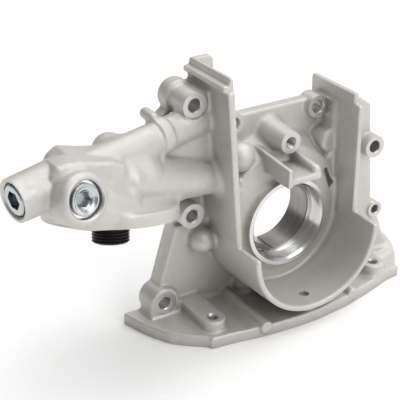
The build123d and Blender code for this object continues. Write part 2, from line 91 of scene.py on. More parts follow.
# ------------------------------------------------------------------ sizes of the casting, millimetres, as the construction has them
LIP_Y, SEAL_R, LIP_R = -26.0, 21.0, 24.2
ECX, ECZ = 2.2 * math.cos(math.radians(160.0)), 2.2 * math.sin(math.radians(160.0))
CCX, CCZ = 1.25, 2.6
TROUGH_R, TROUGH_Y, WALL_Y = 35.0, -53.0, -36.5


def unit(v):
    v = np.array(v, float)
    return v / np.linalg.norm(v)


TUBE_P, TUBE_D = np.array([-151.4, -32.0, 55.7]), unit([0.982, 0.172, 0.0785])
SEAT_C, UP = np.array([-98.8, -18.6, 28.13]), unit([0.148, 0.239, 0.96])
FP_C, FP_N = np.array([-124.2, -48.0, 55.7]), unit([0.18, -0.96, 0.21])
SX = unit(np.array([1.0, 0, 0]) - UP * UP[0])
SY = np.cross(UP, SX)


def at(t):
    return TUBE_P + TUBE_D * t


def seat_pt(r, deg, h):
    a = math.radians(deg)
    return SEAT_C + SX * (r * math.cos(a)) + SY * (r * math.sin(a)) + UP * h


# ------------------------------------------------------------------ cast shape as a distance field, blended like a casting
H = 0.6
LO = np.array([-156.0, -57.6, -52.4])
N = (np.ceil((np.array([92.6, 17.5, 94.6]) - LO) / H)).astype(int) + 1
AX = [(LO[i] + H * np.arange(N[i])).astype(np.float32) for i in range(3)]
field = np.full(tuple(N), 12.0, np.float32)


def rint(a, b, e):
    a, b = a + e, b + e
    return np.minimum(np.maximum(a, b), 0) + np.sqrt(np.maximum(a, 0) ** 2 + np.maximum(b, 0) ** 2) - e


def cyl(p0, p1, r0, r1=None, e=0.7):
    p0, p1 = np.array(p0, float), np.array(p1, float)
    r1 = r0 if r1 is None else r1
    length = np.linalg.norm(p1 - p0)
    d = (p1 - p0) / length
    ca = length / math.hypot(length, r1 - r0)
    ext = max(r0, r1) * np.sqrt(np.maximum(1 - d * d, 0))

    def fn(X, Y, Z):
        x, y, z = X - p0[0], Y - p0[1], Z - p0[2]
        t = x * d[0] + y * d[1] + z * d[2]
        rho = np.sqrt(np.maximum(x * x + y * y + z * z - t * t, 0))
        return rint((rho - (r0 + (r1 - r0) * np.clip(t / length, -0.3, 1.3))) * ca, np.abs(t - length / 2) - length / 2, e)
    return np.minimum(p0, p1) - ext, np.maximum(p0, p1) + ext, fn


def cyl_y(x, z, r, y0, y1, e=0.7):
    return cyl((x, y0, z), (x, y1, z), r, None, e)


def cone_y(x0, z0, r0, y0, x1, z1, r1, y1, e=0.7):
    lo = (min(x0 - r0, x1 - r1), min(y0, y1), min(z0 - r0, z1 - r1))
    hi = (max(x0 + r0, x1 + r1), max(y0, y1), max(z0 + r0, z1 + r1))
    ca = abs(y1 - y0) / math.hypot(y1 - y0, r1 - r0)

    def fn(X, Y, Z):
        t = np.clip((Y - y0) / (y1 - y0), -0.5, 1.5)
        rho = np.sqrt((X - x0 - (x1 - x0) * t) ** 2 + (Z - z0 - (z1 - z0) * t) ** 2)
        return rint((rho - r0 - (r1 - r0) * t) * ca, np.abs(Y - (y0 + y1) / 2) - abs(y1 - y0) / 2 + 0 * rho, e)
    return lo, hi, fn


def box(x0, x1, y0, y1, z0, z1, e=0.7):
    c = [(x0 + x1) / 2, (y0 + y1) / 2, (z0 + z1) / 2]
    h = [abs(x1 - x0) / 2, abs(y1 - y0) / 2, abs(z1 - z0) / 2]

    def fn(X, Y, Z):
        q = [np.abs(v - c[i]) - h[i] + e for i, v in enumerate((X, Y, Z))]
        out = np.sqrt(np.maximum(q[0], 0) ** 2 + np.maximum(q[1], 0) ** 2 + np.maximum(q[2], 0) ** 2)
        return out + np.minimum(np.maximum(np.maximum(q[0], q[1]), q[2]), 0) - e
    return (x0, y0, z0), (x1, y1, z1), fn


def poly2(pts, U, W):
    d = np.full(np.broadcast(U, W).shape, 1e9)
    s = np.ones(d.shape)
    for i in range(len(pts)):
        a, b = pts[i], pts[i - 1]
        e0, e1 = b[0] - a[0], b[1] - a[1]
        wx, wy = U - a[0], W - a[1]
        t = np.clip((wx * e0 + wy * e1) / (e0 * e0 + e1 * e1), 0, 1)
        d = np.minimum(d, (wx - e0 * t) ** 2 + (wy - e1 * t) ** 2)
        c1, c2, c3 = W >= a[1], W < b[1], e0 * wy > e1 * wx
        s = np.where((c1 & c2 & c3) | (~c1 & ~c2 & ~c3), -s, s)
    return s * np.sqrt(d)


def prism_xz(pts, y0, y1, e=0.7, grow=0.0):
    p = np.array(pts, float)

    def fn(X, Y, Z):
        return rint(poly2(pts, X, Z) - grow, np.abs(Y - (y0 + y1) / 2) - abs(y1 - y0) / 2, e)
    return (p[:, 0].min() - grow, y0, p[:, 1].min() - grow), (p[:, 0].max() + grow, y1, p[:, 1].max() + grow), fn


def prism_xy(pts, z0, z1, e=0.7):
    p = np.array(pts, float)

    def fn(X, Y, Z):
        return rint(poly2(pts, X, Y), np.abs(Z - (z0 + z1) / 2) - abs(z1 - z0) / 2, e)
    return (p[:, 0].min(), p[:, 1].min(), z0), (p[:, 0].max(), p[:, 1].max(), z1), fn


def prism_yz(pts, x0, x1, e=0.7):
    p = np.array(pts, float)

    def fn(X, Y, Z):
        return rint(poly2(pts, Y, Z), np.abs(X - (x0 + x1) / 2) - abs(x1 - x0) / 2, e)
    return (x0, p[:, 0].min(), p[:, 1].min()), (x1, p[:, 0].max(), p[:, 1].max()), fn


def pill(p0, p1, r0, r1=None):
    p0, p1 = np.array(p0, float), np.array(p1, float)
    r1 = r0 if r1 is None else r1
    d = p1 - p0
    dd = max(d @ d, 1e-9)

    def fn(X, Y, Z):
        x, y, z = X - p0[0], Y - p0[1], Z - p0[2]
        t = np.clip((x * d[0] + y * d[1] + z * d[2]) / dd, 0, 1)
        return np.sqrt((x - d[0] * t) ** 2 + (y - d[1] * t) ** 2 + (z - d[2] * t) ** 2) - (r0 + (r1 - r0) * t)
    m = max(r0, r1)
    return np.minimum(p0, p1) - m, np.maximum(p0, p1) + m, fn


def keep(p, test):
    lo, hi, fn = p
    return lo, hi, lambda X, Y, Z: np.maximum(fn(X, Y, Z), test(X, Y, Z))


def window(lo, hi, m):
    a = np.clip(np.floor((np.array(lo) - m - LO) / H).astype(int), 0, N - 2)
    b = np.clip(np.ceil((np.array(hi) + m - LO) / H).astype(int) + 1, a + 2, N)
    sl = tuple(slice(i, j) for i, j in zip(a, b))
    return sl, AX[0][sl[0]][:, None, None], AX[1][sl[1]][None, :, None], AX[2][sl[2]][None, None, :]


def add(p, k=2.5):
    sl, X, Y, Z = window(p[0], p[1], k + 2.0)
    a = field[sl]
    b = np.minimum(np.broadcast_to(p[2](X, Y, Z), a.shape), 12.0).astype(np.float32)
    ga, gb = np.gradient(a, H), np.gradient(b, H)
    dot = sum(u * v for u, v in zip(ga, gb)) / (np.sqrt(sum(u * u for u in ga) * sum(v * v for v in gb)) + 1e-6)
    kk = k * np.clip(1.0 - dot, 0, 1) + 1e-4
    h = np.maximum(kk - np.abs(a - b), 0) / kk
    field[sl] = np.minimum(a, b) - h * h * kk * 0.25


def cut(p):
    sl, X, Y, Z = window(p[0], p[1], 2.0)
    field[sl] = np.maximum(field[sl], -np.broadcast_to(p[2](X, Y, Z), field[sl].shape))


# rear plate and its thicker parts
add(prism_xz([(-75, -49), (-58.5, 5.5), (-60.5, 22), (-63, 40), (-64, 66), (-46, 80), (-43, 60), (-28, 60), (-28, 57),
              (36, 57), (50, 56.5), (58.3, 50.5), (59.8, 34), (61.3, 17), (63.4, -6), (70, -12.8), (75.5, -19.5), (80.5, -30), (86, -46), (86, -49)], -6.0, 1.2, 1.0), 0.1)
add(prism_xz([(-74, -46), (-57.5, 6), (-40, 6), (-30, -26), (-12, -46)], -9, 1.2, 1.0), 2.0)
add(prism_xz([(34, 57), (50, 56.5), (58.3, 50.5), (59.8, 34), (61.3, 17), (63.4, -6), (66.5, -17), (80, -44), (20, -44), (30, 0)], -17, 1.2, 1.2), 3.0)
# gear case
add(cone_y(CCX, CCZ, 43.5, -4, CCX, CCZ, 35.6, -18.0, 1.2), 4.0)
add(keep(cyl_y(0, 0, 39.0, -16.0, 1.2), lambda X, Y, Z: Z - 22), 3.0)
add(cone_y(CCX, CCZ, 35.6, -17.9, 0, 0, 27.0, -21.5, 0.8), 1.5)
add(prism_xy([(60, 0), (86, 0), (84.5, -6), (82, -14), (77, -21), (68, -24), (60, -20)], -46, -39.4, 2.4), 3.0)
add(keep(cyl_y(0, 0, 37.0, -19.5, -12), lambda X, Y, Z: Z - 14), 2.0)
add(cyl_y(0, 0, LIP_R, LIP_Y - 1.2, -16, 0.3), 3.2)
# cover screw bosses
for a in (46.0, 128.0, 188.0, 246.5, 312.0, 0.0):
    x, z = CCX + 45.0 * math.cos(math.radians(a)), CCZ + 45.0 * math.sin(math.radians(a))
    if a == 188.0:
        add(pill((x - 1.0, -12.5, z), (x, -2, z), 7.0), 2.5)
    elif a == 46.0:
        add(cyl_y(x, z, 6.3, -17.5, -2, 2.4), 1.6)
    elif a == 128.0:
        add(pill((x + 1.6, -17.0, z + 2.0), (x + 1.6, -2, z), 7.6), 1.8)
    else:
        add(pill((x, -10.5 if (x < 0 and z < 10) else -12.5, z), (x, -2, z), 6.1), 3.0)


# trough
def trough(X, Y, Z):
    rho = np.sqrt(X * X + Z * Z)
    mid = TROUGH_R + 1.5 + 1.5 * np.clip((Y - TROUGH_Y) / 41.0, -0.1, 1.1)
    return rint(rint(np.abs(rho - mid) - 1.5, np.abs(Y + 32.5) - 20.5 + 0 * rho, 0.9), Z - 0.6, 0.6)


add(((-40, -53, -40), (40, -12, 0.6), trough), 3.0)
# side walls
add(prism_xz([(-35.2, -4), (-35.2, 0), (-41.2, 84), (-41.5, 90.5), (-43.6, 90.5), (-44.2, 87.3), (-47.0, 87.0),
              (-47.2, 84.5), (-44.9, 83), (-38.3, 0), (-38.3, -4)], WALL_Y + 1.0, 1.2, 0.5), 2.4)
add(prism_xz([(-35.2, -4), (-35.2, 0), (-41.2, 84), (-44.9, 83), (-38.3, 0), (-38.3, -4)], WALL_Y, -30, 0.5), 0.3)
add(prism_xz([(-43.6, 57), (-43.6, 90.5), (-33.6, 90.5), (-31.4, 88.5), (-31.4, 76), (-27.5, 60), (-27.5, 57)], -2.6, 1.2, 0.5), 1.6)
add(prism_xz([(-42, 57), (-40, 66), (-37, 60), (-33, 57)], -6, 0, 0.5), 1.6)
add(prism_xz([(35.2, -4), (34.8, 60), (37.9, 60), (38.2, -4)], -35.0, -2, 0.6), 2.4)
add(prism_xz([(34.8, 50), (34.7, 65.5), (37.8, 65.5), (37.9, 50)], -31.0, 5.0, 0.5), 1.0)

BOLTS = {"a": (-53.6, 74.7, -21.0, 6.4), "b": (28.4, 53.0, -10.0, 6.1), "c": (58.0, 28.0, -23.0, 6.2),
         "d": (65.5, -13.5, -18.5, 4.6), "f": (-24.0, 54.5, -10.0, 6.0), "g": (-53.1, 14.7, -18.0, 6.6)}
for k, (x, z, y, r) in BOLTS.items():
    add(cyl_y(x, z, r, y - 1.2, 1.2, 0.3), 2.2)
add(cyl_y(-53.6, 74.7, 8.2, -7.5, 1.2, 0.9), 1.5)
add(prism_xz([(-52, 68), (-43.2, 68), (-44.4, 80), (-52, 80)], -20, -1, 0.8), 2.2)
IX, IZ, IY = -66.6, -34.4, -13.0
add(box(IX - 8.4, IX + 8.6, IY, -1, -44, IZ, 0.9), 2.2)
add(cyl_y(IX, IZ, 8.4, IY, 1.2, 0.9), 1.5)
# tensioner boss, tray
EX, EZ, EY = 0.1, 44.8, -25.5
add(cyl((EX, EY - 1.0, EZ), (EX, -5, EZ), 5.8, 7.6, 0.5), 3.0)
TX0, TX1, TRAY_Y = -11.8, 8.6, -41.0
add(box(TX0, TX1, TRAY_Y, -8, 29.4, 32.4, 0.5), 2.2)
add(prism_yz([(TRAY_Y, 28.0), (TRAY_Y, 38.3), (-4, 41.3), (-4, 31.0), (TRAY_Y + 12, 29.4), (TRAY_Y + 12, 28.0)], TX0, TX0 + 2.4, 0.5), 1.6)
add(box(TX1 - 4.0, TX1, TRAY_Y + 1, -16, 30, 34.4, 0.5), 1.6)
add(pill((TX1 - 2.2, TRAY_Y + 3.0, 34.2), (TX1 - 2.2, -16, 36.0), 2.4), 1.6)
# sump flange
add(prism_xy([(-84, 1.2), (-81.8, -6), (-79.5, -14), (-76.5, -21), (-72.5, -28.5), (-67, -34), (-61.5, -38.2),
              (-58, -41), (-57.2, -43.4), (-46.4, -44.6), (-33.8, -46.8), (-23, -48.4), (-8, -49.4),
              (5, -49.3), (25, -47.2), (43, -43), (61.5, -37.6), (70.2, -36.8), (69.3, -34.6), (78.5, -24),
              (84.5, -14), (88, -4), (88.6, 1.2)], -49.4, -42, 0.8), 3.0)
for x, y0 in ((-27.8, -48.6), (29.5, -46.6)):
    add(pill((x, y0 + 3.1, -42.0), (x, -6, -42.0), 3.1), 2.0)
    add(cyl_y(x, -42.6, 3.4, y0 - 0.3, y0 + 6, 0.4), 0.5)
add(box(-57.3, -44.7, -33.8, -6, -43, -36, 0.8), 2.0)
add(cyl((-51, -33.8, -44), (-51, -33.8, -36), 6.3, None, 0.8), 1.5)
add(cyl((0.8, -41.2, -43), (0.8, -41.2, -34.6), 6.3, None, 0.5), 1.2)
add(cyl((53.5, -33.0, -44), (53.5, -33.0, -36), 6.5, None, 0.8), 2.0)
add(box(47, 60, -33, -8, -43, -36, 0.8), 1.8)
add(box(-2, 31, -23.5, -2, -45, -37.5, 1.0), 2.5)
add(box(-2, 31, -19.8, -2, -45, -30, 1.0), 1.5)
# filter arm
add(cyl(at(24), at(112), 7.8, None, 0.8), 3.2)
add(cyl(SEAT_C - UP * 1.2, SEAT_C + UP * 6.0, 32.5, None, 0.8), 3.0)
add(cyl(SEAT_C + UP * 5.0, SEAT_C + UP * 10.0, 31.0, 22.0, 1.5), 4.0)
add(pill(SEAT_C + UP * 8, SEAT_C + UP * 31.0, 13.0, 8.5), 6.0)
add(prism_xz([(-129.0, 49), (-129.0, 60.0), (-126.5, 64.4), (-122.5, 66.9), (-114, 64.4), (-106, 62.8), (-101, 60),
              (-103, 50), (-108, 40), (-121, 44)], -37.6, -14, 2.0, 2.0), 6.0)
NOSE0, NOSE1 = FP_C - FP_N * 12.6, np.array([-103.5, -33.4, 37.1])
add(pill(NOSE0, NOSE1, 12.0, 13.1), 4.0)
add(prism_xz([(-137.4, 43), (-137.4, 60), (-136, 65.5), (-132.5, 69), (-126, 69.6), (-119, 67.5), (-114, 60), (-113, 50), (-116, 43)], -39.0, -26, 2.2), 3.4)
add(cyl(FP_C + FP_N * 0.25, FP_C - FP_N * 24, 12.2, 13.5, 3.0), 1.6)
add(cyl(at(-1.2), at(27), 10.2, 11.2, 0.4), 1.3)
add(pill((-111, -26.0, 50.5), (-86, -24.0, 47.5), 12.2), 5.0)
add(prism_xy([(-120, -44), (-104, -44), (-92, -34), (-88, -20), (-120, -20)], 33, 46, 2.0), 5.0)
add(cyl((-39, -15.8, 32.6), (-97, -26.0, 48.0), 8.6, 13.0, 1.0), 5.0)
add(pill((-76, -22.0, 52.4), (-44, -22.0, 40.2), 1.3), 1.5)
add(pill(SEAT_C + UP * 2 + np.array([19, -0.6, -2.6]), (-82, -21, 44), 7.2), 5.0)
add(prism_xz([(-42, 66), (-42, 36), (-98, 46), (-98, 60)], -18.5, -7, 1.0), 3.0)
add(pill((-133, -18.2, 56.3), (-50, -10.4, 49.4), 4.6), 2.5)
add(cyl((-23, -14.4, 20.2), (-44, -15.0, 34.4), 5.4, None, 0.7), 2.5)
add(cyl(at(79), at(85), 9.0, None, 0.7), 1.4)
add(cyl((-76.0, -18, 50.5), (-76.6, -26.3, 54.0), 4.2, 3.8, 1.2), 2.5)
add(pill((-73.4, -9, 71.2), (-73.4, -16, 71.2), 2.8), 1.6)

# cast openings and pockets
cut(cyl_y(0, 0, TROUGH_R, -60, -22.0, 1.5)[:2] + (lambda X, Y, Z: np.maximum(rint(np.sqrt(X * X + Z * Z) - TROUGH_R - 1.5 * np.clip((Y + 53) / 41, 0, 1), Y + 22.0, 2.0), Z + 24.4),))
cut(prism_xz([(26.8, 20.5), (29.8, 21.0), (33.8, 11.5), (31.3, 8.5)], -30, -14.9, 0.4))
cut(prism_xz([(-70, -42), (-61, -14), (-52, -14), (-46, -30), (-46, -42)], -6.0, 4, 1.2))
cut(prism_xz([(50, -20), (66, -22), (76, -42), (50, -42)], -13.0, 4, 1.5))
cut(prism_xz([(54.5, 18), (58.5, 18), (58.5, -4), (54.5, -4)], -13.0, 4, 0.8))
cut(prism_xz([(44, 52), (51, 51.5), (54.5, 47), (54.5, 38), (46, 38)], -13.0, 4, 1.2))


def blur(a, sigma):
    n = int(math.ceil(3 * sigma))
    w = np.exp(-0.5 * (np.arange(-n, n + 1) / sigma) ** 2)
    w = (w / w.sum()).astype(np.float32)
    for axis in range(3):
        p = np.pad(a, [(n, n) if i == axis else (0, 0) for i in range(3)], mode="edge")
        out = np.zeros_like(a)
        for i, c in enumerate(w):
            sl = [slice(None)] * 3
            sl[axis] = slice(i, i + a.shape[axis])
            out += c * p[tuple(sl)]
        a = out
    return a


field = blur(field, 0.36 / H)


def surface(f):
    s = f < 0
    c = [(i, j, k) for i in (0, 1) for j in (0, 1) for k in (0, 1)]
    n0, n1, n2 = (n - 1 for n in f.shape)
    count = sum(s[i:i + n0, j:j + n1, k:k + n2].astype(np.uint8) for i, j, k in c)
    cells = np.argwhere((count > 0) & (count < 8))
    index = np.full((n0, n1, n2), -1, np.int64)
    index[tuple(cells.T)] = np.arange(len(cells))
    val = {o: f[cells[:, 0] + o[0], cells[:, 1] + o[1], cells[:, 2] + o[2]] for o in c}
    pos, num = np.zeros((len(cells), 3)), np.zeros(len(cells))
    for o in c:
        for axis in range(3):
            if o[axis]:
                continue
            q = list(o)
            q[axis] = 1
            a, b = val[o], val[tuple(q)]
            m = (a < 0) != (b < 0)
            t = np.where(m, a / np.where(m, a - b, 1), 0)
            p = np.array(o, float)[None, :] + np.eye(3)[axis][None, :] * t[:, None]
            pos += p * m[:, None]
            num += m
    verts = LO + H * (cells + pos / num[:, None])
    quads = []
    for axis in range(3):
        u, v = (axis + 1) % 3, (axis + 2) % 3
        a = np.moveaxis(s, (axis, u, v), (0, 1, 2))
        ix = np.moveaxis(index, (axis, u, v), (0, 1, 2))
        d = a[:-1] != a[1:]
        e = np.argwhere(d[:, 1:-1, 1:-1])
        i, j, k = e[:, 0], e[:, 1] + 1, e[:, 2] + 1
        q = np.stack([ix[i, j - 1, k - 1], ix[i, j, k - 1], ix[i, j, k], ix[i, j - 1, k]], 1)
        inside = a[i, j, k]
        q[~inside] = q[~inside][:, ::-1]
        quads.append(q)
    return verts, np.concatenate(quads)


def mesh_from(name, verts, faces):
    me = bpy.data.meshes.new(name)
    me.from_pydata(np.asarray(verts, float).tolist(), [], [list(map(int, f)) for f in faces])
    me.update()
    return me


def obj_from(name, verts, faces):
    o = bpy.data.objects.new(name, mesh_from(name, verts, faces))
    bpy.context.scene.collection.objects.link(o)
    return o


def settle(f):
    # no cell may hold two separate sheets, so that the surface is a clean closed one
    for _ in range(12):
        s = f < 0
        fill = np.zeros(f.shape, bool)
        for u, v in ((0, 1), (1, 2), (0, 2)):
            def sh(i, j):
                sl = [slice(None)] * 3
                sl[u] = slice(i, f.shape[u] - 1 + i)
                sl[v] = slice(j, f.shape[v] - 1 + j)
                return tuple(sl)
            a, b, c, d = s[sh(0, 0)], s[sh(1, 0)], s[sh(0, 1)], s[sh(1, 1)]
            m = (a & d & ~b & ~c) | (~a & ~d & b & c)
            for o in ((0, 0), (1, 0), (0, 1), (1, 1)):
                fill[sh(*o)] |= m
        n0, n1, n2 = (n - 1 for n in f.shape)
        corner = {(i, j, k): s[i:i + n0, j:j + n1, k:k + n2] for i in (0, 1) for j in (0, 1) for k in (0, 1)}
        count = sum(c.astype(np.uint8) for c in corner.values())
        for i, j, k in ((0, 0, 0), (1, 0, 0), (0, 1, 0), (0, 0, 1)):
            p, q = corner[(i, j, k)], corner[(1 - i, 1 - j, 1 - k)]
            m = ((count == 2) & p & q) | ((count == 6) & ~p & ~q)
            for a, b, c in corner:
                fill[a:a + n0, b:b + n1, c:c + n2] |= m
        change = fill & ~s
        if not change.any():
            break
        f[change] = -0.02
    return f


verts, quads = surface(settle(field))
body = obj_from("casting", verts, quads)
print("casting", len(verts), len(quads))

# ------------------------------------------------------------------ machining: exact cutters
cutters = []
SKINS = ("cast", "machined", "drilled", "turned")


def basis(d):
    d = unit(d)
    a = np.cross(d, [0, 0, 1.0]) if abs(d[2]) < 0.9 else np.cross(d, [1.0, 0, 0])
    a = unit(a)
    return a, np.cross(d, a), d


def lathe(p0, d, prof, n=72, closed=False):
    a, b, d = basis(d)
    vs, fs = [], []
    for t, r in prof:
        for i in range(n):
            w = 2 * math.pi * i / n
            vs.append(np.array(p0, float) + d * t + (a * math.cos(w) + b * math.sin(w)) * r)
    m = len(prof)
    for j in range(m if closed else m - 1):
        k = (j + 1) % m
        for i in range(n):
            i2 = (i + 1) % n
            fs.append((j * n + i, j * n + i2, k * n + i2, k * n + i))
    if not closed:
        fs.append(tuple(range(n - 1, -1, -1)))
        fs.append(tuple((m - 1) * n + i for i in range(n)))
    return vs, fs


def extrude(pts, lift):
    n = len(pts)
    vs = [np.array(p, float) for p in pts] + [np.array(p, float) + np.array(lift, float) for p in pts]
    fs = [tuple(range(n - 1, -1, -1)), tuple(range(n, 2 * n))]
    fs += [(i, (i + 1) % n, n + (i + 1) % n, n + i) for i in range(n)]
    return vs, fs


def block(x0, x1, y0, y1, z0, z1):
    return extrude([(x0, y0, z0), (x1, y0, z0), (x1, y1, z0), (x0, y1, z0)], (0, 0, z1 - z0))


def cutter(vf, skin=1, cast_first=0):
    # the first faces of a trim can leave the cast skin, where it only clears a fillet
    me = mesh_from("cutter", *vf)
    bm = bmesh.new()
    bm.from_mesh(me)
    bmesh.ops.recalc_face_normals(bm, faces=bm.faces)
    for i, f in enumerate(bm.faces):
        f.material_index = 0 if i < cast_first else skin
    bm.to_mesh(me)
    bm.free()
    o = bpy.data.objects.new("cutter", me)
    bpy.context.scene.collection.objects.link(o)
    cutters.append(o)


def drill(p0, p1, r0, r1=None, n=48):
    p0, p1 = np.array(p0, float), np.array(p1, float)
    L = np.linalg.norm(p1 - p0)
    cutter(lathe(p0, p1 - p0, [(0, r0), (L, r0 if r1 is None else r1)], n), 2)


def joined(items):
    # cutters whose boxes are clear of each other are cut in one go
    groups = []
    for o in items:
        co = np.array([v.co for v in o.data.vertices])
        b = (co.min(0) - 0.05, co.max(0) + 0.05)
        for g in groups:
            if all((b[0] > c[1]).any() or (b[1] < c[0]).any() for c, _ in g):
                g.append((b, o))
                break
        else:
            groups.append([(b, o)])
    out = []
    for g in groups:
        bm = bmesh.new()
        for _, o in g:
            bm.from_mesh(o.data)
        me = bpy.data.meshes.new("cutter_group")
        bm.to_mesh(me)
        bm.free()
        for k in SKINS:
            me.materials.append(M[k])
        o = bpy.data.objects.new("cutter_group", me)
        bpy.context.scene.collection.objects.link(o)
        out.append(o)
    print("cutter groups", len(out), "of", len(items))
    return out


def thread(t0, t1, r0, r1, pitch=1.0):
    out, t = [], t0
    while t < t1 - pitch:
        out += [(t, r1), (t + 0.18 * pitch, r1), (t + 0.5 * pitch, r0), (t + 0.68 * pitch, r0)]
        t += pitch
    return out + [(t1, r1)]


YP = (0, 1, 0)
# faces: mounting face, sump face, filter sealing face
for q in ((-66.3, 34.4, 8, 100), (-77, 34.4, -60, 10), (38.2, 100, -60, 100), (34.0, 39.0, -60, 49.6), (34.0, 39.0, 65.9, 100)):
    cutter(block(q[0], q[1], 0, 14, q[2], q[3]))
cutter(block(-110, 110, -70, 20, -60, -48))
cutter(lathe(SEAT_C - UP * 30, UP, [(0, 36.5), (30, 36.5)], 120))
# crank passage with the seal seat
cutter(lathe((0, 0, 0), YP, [(-31, 24.7), (LIP_Y, 24.7), (LIP_Y, 22.1), (LIP_Y + 1.1, SEAL_R), (-18.2, SEAL_R), (-17.9, 21.35), (-16.9, 21.35),
                             (-16.5, SEAL_R), (-16.5, 20.3), (-15.2, 20.3), (-15.2, 22.25), (-10.0, 22.25)], 128), 3)
drill((-9, LIP_Y + 8.2, -19.0), (-11, LIP_Y + 8.2, -24.5), 1.6)
drill((4.0, LIP_Y + 8.0, 20.0), (4.6, LIP_Y + 8.0, 23.6), 1.4)
# rotor chamber, cover recess, ports
cutter(lathe((ECX, -14, ECZ), YP, [(0, 34.07), (18, 34.07)], 128))
rec = []
for i in range(160):
    a = 2 * math.pi * i / 160
    z = CCZ + 50.25 * math.sin(a)
    rec.append((CCX + 50.25 * math.cos(a), -4.0, max(z, -43.45)))
cutter(extrude(rec, (0, 8, 0)))


def kidney(a0, a1, r0, r1, y0, y1):
    a = [math.radians(a0 + (a1 - a0) * i / 14) for i in range(15)]
    pts = [(r1 * math.cos(w), y0, r1 * math.sin(w)) for w in a] + [(r0 * math.cos(w), y0, r0 * math.sin(w)) for w in a[::-1]]
    cutter(extrude(pts, (0, y1 - y0, 0)))


kidney(2, 140, 24.2, 31.0, -17.0, -13.5)
kidney(180, 320, 24.2, 31.0, -17.0, -13.5)
# suction side
cutter(lathe((14, -13, -52), (0, 0, 1), [(0, 7.5), (4.0, 7.5), (4.5, 7.0), (15.4, 7.0)], 72))
cutter(block(8, 20, -18.2, -7.0, -41, -36.6))
cutter(block(8, 20, -17.6, -14.6, -37, -24))
for dx in (-12.0, 12.0):
    cutter(lathe((14 + dx, -13, -52), (0, 0, 1), [(0, 3.1), (4.0, 3.1)] + thread(4.2, 15.4, 2.5, 2.95), 48))
# galleries, relief valve bore, plugs
drill((-21.0, -15.4, 18.8), (-44, -15.6, 34.4), 2.8)
drill((-43, -16.2, 33.6), (-84, -21.8, 44.6), 5.2)
drill(at(27), at(101), 4.3)
cutter(lathe(at(0), TUBE_D, [(-6, 11.4), (0, 11.4), (0, 9.0), (0.9, 8.0), (3.6, 8.0), (3.6, 6.0), (11, 6.0), (11, 5.03), (28, 5.03)], 96))
px = at(98)
drill(px, (px[0], 3, px[2]), 5.0)
RP = at(24.5)
drill(RP, (RP[0], -10, RP[2] - 2.6), 2.0)
LONG_P = np.array([-136, -18.4, 56.55])
drill(LONG_P, (-57, -11.0, 50.0), 2.1)
drill((-57, -11.5, 50.0), (-57, 3, 50.0), 2.3)
drill(at(14) + np.array([0, 2, 0]), (-127.4, -18.2, 56.0), 0.9, None, 24)
cutter(lathe(FP_C, -FP_N, [(-1, 10.1), (0, 10.1), (0, 9.4), (0.7, 8.7), (4.0, 8.7), (4.0, 5.0), (9.0, 5.0)], 96))
drill(FP_C - FP_N * 8.0, at(36), 2.2)
# filter seat
cutter(lathe(SEAT_C, UP, [(-3, 9.6), (0, 9.6), (0.6, 9.0), (16, 9.0), (16, 6.0), (27, 6.0)], 96))
drill(SEAT_C + UP * 21, at(56), 4.2)
cutter(lathe(SEAT_C, UP, [(-2, 13.5), (-2, 25.0), (3.2, 25.0), (3.2, 13.5)], 120, True))
drill(seat_pt(19.2, 0, 2), (-82, -21, 44.5), 4.4)
drill(seat_pt(19.2, 203.0, 2), seat_pt(19.2, 203.0, 10.5), 5.5)
drill(seat_pt(19.2, 203.0, 9.5), seat_pt(4.0, 203.0, 21), 3.0)
# bolt bosses
for k, (x, z, y, r) in BOLTS.items():
    h = 2.4 if k == "d" else 3.3
    prof = [(y - 4, r + 0.22), (y, r + 0.22), (y, h + 0.55), (y + 0.5, h)]
    prof += [(-6.0, h), (-6.0, 4.9), (3, 4.9)] if k == "c" else [(3, h)]
    cutter(lathe((x, 0, z), YP, prof, 72), 1, 72)
cutter(lathe((IX, 0, IZ), YP, [(-17, 6.3), (IY + 0.25, 6.3), (IY + 0.25, 3.9), (IY + 0.8, 3.3), (-6, 3.3), (-6, 4.9), (3, 4.9)], 72))
cutter(lathe((EX, 0, EZ), YP, [(EY - 4, 6.1), (EY, 6.1), (EY, 3.2), (EY + 0.7, 2.7)] + thread(EY + 0.9, -9, 2.5, 2.95), 64), 1, 64)
for x, y, z in ((-51.0, -33.8, -36.0), (0.8, -41.2, -34.6), (53.5, -33.0, -36.0)):
    cutter(lathe((x, y, 0), (0, 0, 1), [(-52, 2.9)] + thread(-50, z - 0.8, 2.5, 2.95) + [(z - 0.7, 2.7), (z - 0.1, 3.3), (z + 2, 3.3)], 64))
for a in (46.0, 128.0, 188.0, 246.5, 312.0, 0.0):
    x, z = CCX + 45.0 * math.cos(math.radians(a)), CCZ + 45.0 * math.sin(math.radians(a))
    drill((x, -13.6, z), (x, 1, z), 2.1)
for a in (25.0, 155.0):
    x, z = CCX + 45.0 * math.cos(math.radians(a)), CCZ + 45.0 * math.sin(math.radians(a))
    drill((x, -9.0, z), (x, 1, z), 2.0)

# ------------------------------------------------------------------ materials


